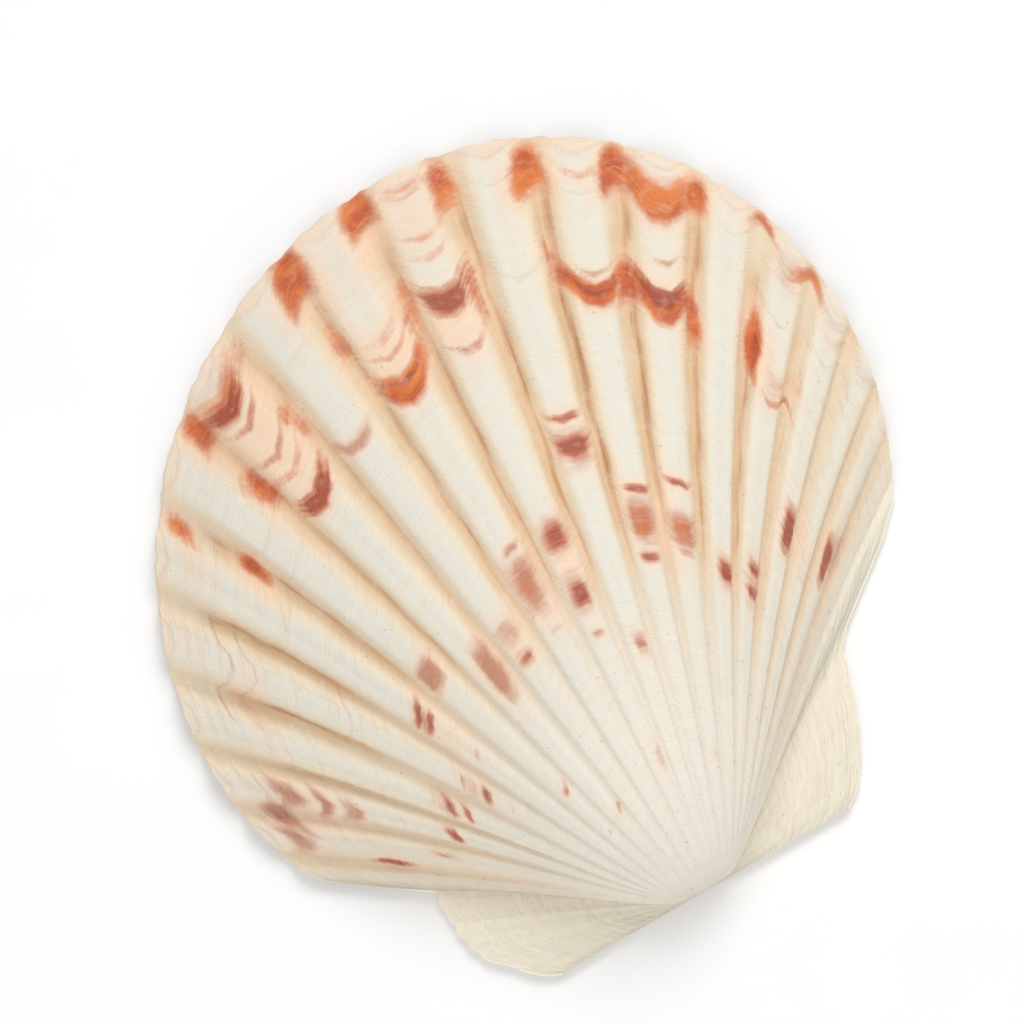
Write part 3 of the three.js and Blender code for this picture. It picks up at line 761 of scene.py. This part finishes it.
def shell_finish():
    """Satin shell outside and porcelain inside. The colours follow the ribs, the furrows and
    the growth lines; every stain is a field on the mesh, ragged by noise along the growth
    lines, and shares its roughness and height with the surface under it."""
    finish = Finish("shell")
    place = finish.place()
    rib = finish.field("rib")
    stage = finish.field("stage")
    relief = finish.field("relief")
    growth = finish.field("growth")
    crest = finish.field("crest")
    along_growth = finish.vector(finish.times(rib, STRIAE_RATE[0]), finish.times(growth, STRIAE_RATE[1]))
    along_ribs = finish.vector(finish.times(rib, FIBRE_RATE[0]), finish.times(stage, FIBRE_RATE[1]))
    striae = finish.noise(along_growth, 1.0, 4.0, 0.6)
    fibres = finish.noise(along_ribs, 1.0, 3.0, 0.6)
    cloud = finish.noise(place, CLOUD_SCALE, 4.0)
    grain = finish.noise(place, GRAIN_SCALE, 4.0, 0.6)

    # Ground colour: whiter rib tops, ivory furrows, creamier flanks, white beak, ivory ears.
    flank = finish.step(finish.maths("ABSOLUTE", finish.minus(rib, 0.6)), 4.2, 7.5)
    top = finish.blend(finish.times(flank, 0.6), RIB_WHITE, RIB_CREAM)
    top = finish.blend(finish.times(finish.step(cloud, 0.42, 0.7), 0.4), top, RIB_CREAM)
    shoulder = finish.times(finish.step(crest, 0.80, 0.35), finish.step(stage, 0.3, 0.6))
    top = finish.blend(finish.times(shoulder, 0.8), top, RIB_SHOULDER)
    in_furrow = finish.minus(1.0, finish.step(relief, 0.05, 0.85))
    in_furrow = finish.times(in_furrow, finish.step(stage, 0.2, 0.5, 0.15, 0.85))
    ground = finish.blend(in_furrow, top, FURROW_IVORY)
    beak = finish.step(stage, 0.42, 0.14)
    ground = finish.blend(finish.times(beak, 0.8), ground, BEAK_WHITE)
    ground = finish.blend(finish.field("ear"), ground, EAR_IVORY)
    streak = finish.times(finish.step(striae, 0.45, 0.75), 0.22)
    ground = finish.blend(streak, ground, FURROW_IVORY)

    # Stains, with painted shade along the furrows, from the faintest to the darkest.
    ragged = finish.times(finish.minus(striae, 0.5), 0.5)
    ragged = finish.plus(ragged, finish.times(finish.minus(grain, 0.5), 0.5))

    def stain(name, low, high):
        field = finish.field(name)
        present = finish.step(field, 0.0, 0.15)
        return finish.step(finish.plus(field, finish.times(ragged, present)), low, high)

    # Tan along the furrows: part stain, part painted shade where the furrows lie deep.
    furrow = finish.field("furrow")
    tan = finish.step(finish.plus(furrow, finish.times(finish.minus(fibres, 0.5), 0.3)), 0.15, 0.8)
    ground = finish.blend(finish.times(tan, 0.6), ground, FURROW_TAN)
    # Painted shade: a brown line a little behind the middle of each furrow.
    furrow_shade_line = finish.step(finish.field("furrow_shade_line"), 0.25, 1.0)
    furrow_shade_line = finish.times(furrow_shade_line, finish.step(fibres, 0.35, 0.65, 0.45, 1.0))
    ground = finish.blend(finish.times(furrow_shade_line, 0.9), ground, FURROW_SHADE_BROWN)
    halo = finish.step(finish.field("halo"), 0.0, 0.9)
    warm = finish.step(finish.field("warm"), 0.0, 1.0)
    warm = finish.times(warm, finish.step(striae, 0.3, 0.6, 0.55, 0.9))
    halo = finish.maths("MAXIMUM", finish.times(halo, 0.8), warm)
    ground = finish.blend(halo, ground, MARK_PEACH)
    rose = stain("rose", 0.12, 0.9)
    ground = finish.blend(finish.times(rose, 0.9), ground, MARK_ROSE)
    orange = stain("orange", 0.22, 0.85)
    blotch = finish.step(finish.noise(place, BLOTCH_SCALE, 3.0), 0.38, 0.62)
    orange_tone = finish.blend(blotch, MARK_RUST, MARK_ORANGE)
    orange_tone = finish.blend(finish.step(striae, 0.5, 0.72, 0.0, 0.6), orange_tone, MARK_AMBER)
    ground = finish.blend(finish.times(orange, 0.95), ground, orange_tone)
    brown = stain("brown", 0.18, 0.8)
    core = finish.plus(finish.field("brown"), finish.times(finish.minus(striae, 0.5), 1.6))
    brown_tone = finish.blend(finish.step(core, 0.3, 0.9), MARK_BROWN, MARK_MAROON)
    ground = finish.blend(finish.times(brown, 0.88), ground, brown_tone)
    line = finish.step(finish.field("lines"), 0.05, 1.0)
    line = finish.times(line, finish.step(cloud, 0.3, 0.6, 0.3, 0.7))
    ground = finish.blend(line, ground, LINE_BROWN)

    # Specks of dirt in the pores, and the chalky bloom of a beach-worn surface.
    speck = finish.times(finish.step(finish.noise(place, SPECK_SCALE, 2.0), 0.69, 0.76), 0.35)
    ground = finish.blend(speck, ground, LINE_BROWN)
    bloom = finish.times(finish.step(grain, 0.5, 0.75), 0.18)
    ground = finish.blend(bloom, ground, BEAK_WHITE)

    # Underside: porcelain, rosy towards the hinge and in the grooves, with the muscle scar.
    scar = finish.field("scar")
    under = finish.blend(finish.step(cloud, 0.35, 0.75), PORCELAIN, SCAR_GREY)
    under = finish.blend(finish.times(finish.step(stage, 0.5, 0.1), 0.55), under, PORCELAIN_ROSE)
    grooves = finish.times(finish.step(stage, 0.8, 0.97), finish.step(relief, 0.3, 0.9))
    under = finish.blend(finish.times(grooves, 0.35), under, MARK_PEACH)
    show_through = finish.step(finish.field("orange"), 0.2, 1.0)
    under = finish.blend(finish.times(show_through, 0.28), under, MARK_ORANGE)
    scar_edge = finish.times(finish.step(scar, -0.05, 0.04), finish.step(scar, 0.20, 0.04))
    under = finish.blend(finish.times(scar_edge, 0.25), under, PORCELAIN_ROSE)
    is_under = finish.step(finish.field("underside"), 0.3, 0.9)
    base = finish.blend(is_under, ground, under)
    finish.feed(finish.shader.inputs["Base Color"], base)

    # Roughness: satin outside, duller in the furrows and the bloom, smooth inside.
    rough = finish.plus(finish.step(grain, 0.3, 0.75, 0.44, 0.62), finish.times(in_furrow, 0.08))
    smooth = finish.step(cloud, 0.3, 0.7, 0.22, 0.34)
    spread = finish.add("ShaderNodeMix", data_type="FLOAT")
    finish.feed(spread.inputs[0], is_under)
    finish.feed(spread.inputs[2], rough)
    finish.feed(spread.inputs[3], smooth)
    finish.feed(finish.shader.inputs["Roughness"], spread.outputs[0])

    # Height: fine growth striae, fibres along the ribs, pores.
    outside_share = finish.minus(1.0, is_under)
    close_growth = finish.vector(
        finish.times(rib, FINE_STRIAE_RATE[0]), finish.times(stage, FINE_STRIAE_RATE[1]))
    fine = finish.times(finish.noise(close_growth, 1.0, 3.0, 0.6), outside_share)
    normal = finish.bump(fine, STRIAE_HEIGHT, 0.9)
    normal = finish.bump(finish.times(fibres, outside_share), FIBRE_HEIGHT, 0.6, normal)
    normal = finish.bump(finish.times(grain, outside_share), GRAIN_HEIGHT, 0.6, normal)
    finish.feed(finish.shader.inputs["Normal"], normal)
    finish.shader.inputs["Specular IOR Level"].default_value = 0.28
    finish.shader.inputs["Subsurface Weight"].default_value = 0.12
    finish.shader.inputs["Subsurface Radius"].default_value = (1.0, 0.75, 0.5)
    finish.shader.inputs["Subsurface Scale"].default_value = 0.0008
    return finish.material


def floor_finish():
    """Matt white card with a hardly visible mottle."""
    finish = Finish("white_card")
    mottle = finish.step(finish.noise(finish.place(), 40.0, 3.0), 0.3, 0.7)
    card = finish.blend(mottle, CARD_WHITE, CARD_WHITE_LIGHT)
    finish.feed(finish.shader.inputs["Base Color"], card)
    finish.shader.inputs["Roughness"].default_value = 0.85
    finish.shader.inputs["Specular IOR Level"].default_value = 0.1
    return finish.material


FLOOR_HALF = 1.5
FLOOR_GAP = 0.00005


def add_floor(height):
    """A flat square at a height, FLOOR_HALF to each side."""
    corners = FLOOR_HALF * np.array([[-1.0, -1.0, 0.0], [1.0, -1.0, 0.0], [1.0, 1.0, 0.0], [-1.0, 1.0, 0.0]])
    corners[:, 2] = height
    floor = add_mesh("floor", corners, np.array([[0, 1, 2, 3]]), np.zeros((0, 3), int), {})
    floor.data.materials.append(floor_finish())


# Soft boxes, in metres and watts, and the strength of the white surroundings.
KEY_LIGHT = {"place": (0.38, 0.30, 0.65), "size": 0.5, "power": 3.1}
FILL_LIGHT = {"place": (-0.35, -0.5, 0.5), "size": 0.8, "power": 1.8}
SURROUNDINGS = 0.6


def add_light(name, soft_box, target):
    """A square soft box at its place, aimed at a target."""
    light = bpy.data.lights.new(name, "AREA")
    light.shape = "SQUARE"
    light.size = soft_box["size"]
    light.energy = soft_box["power"]
    box = bpy.data.objects.new(name, light)
    box.location = soft_box["place"]
    box.rotation_euler = (Vector(target) - box.location).to_track_quat("-Z", "Y").to_euler()
    bpy.context.scene.collection.objects.link(box)


# Angles, and the distance in metres and the lens in millimetres.
CAMERA_ELEVATION = math.radians(72.0)
CAMERA_ROLL = math.radians(-30.0)
CAMERA_DISTANCE = 0.375
CAMERA_LENS = 200.0


def add_camera(target):
    """Looks down on the valve from the hinge side, turned so that the growth axis points up
    and to the left."""
    camera = bpy.data.objects.new("camera", bpy.data.cameras.new("camera"))
    camera.data.lens = CAMERA_LENS
    camera.data.clip_start = 0.01
    back = Vector((0.0, -math.cos(CAMERA_ELEVATION), math.sin(CAMERA_ELEVATION)))
    aim = (-back).to_track_quat("-Z", "Y").to_matrix().to_4x4()
    place = Matrix.Translation(Vector(target) + back * CAMERA_DISTANCE)
    camera.matrix_world = place @ aim @ Matrix.Rotation(CAMERA_ROLL, 4, "Z")
    bpy.context.scene.collection.objects.link(camera)
    bpy.context.scene.camera = camera


node_low, node_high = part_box("valve")
valve_points, valve_quads, valve_triangles, valve_values = valve_mesh()
valve_points = into_box(valve_points, np.array(node_low), np.array(node_high))
valve = add_mesh("scallop_valve", valve_points, valve_quads, valve_triangles, valve_values)
valve.data.materials.append(shell_finish())
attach(valve, "root")
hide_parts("valve")

middle = (node_low + node_high) / 2
add_floor(node_low.z - FLOOR_GAP)
add_light("key", KEY_LIGHT, middle)
add_light("fill", FILL_LIGHT, middle)
add_camera(middle)

world = bpy.data.worlds.new("studio")
world.use_nodes = True
world.node_tree.nodes["Background"].inputs["Color"].default_value = (1.0, 1.0, 1.0, 1.0)
world.node_tree.nodes["Background"].inputs["Strength"].default_value = SURROUNDINGS
bpy.context.scene.world = world
bpy.context.scene.view_settings.view_transform = "Standard"
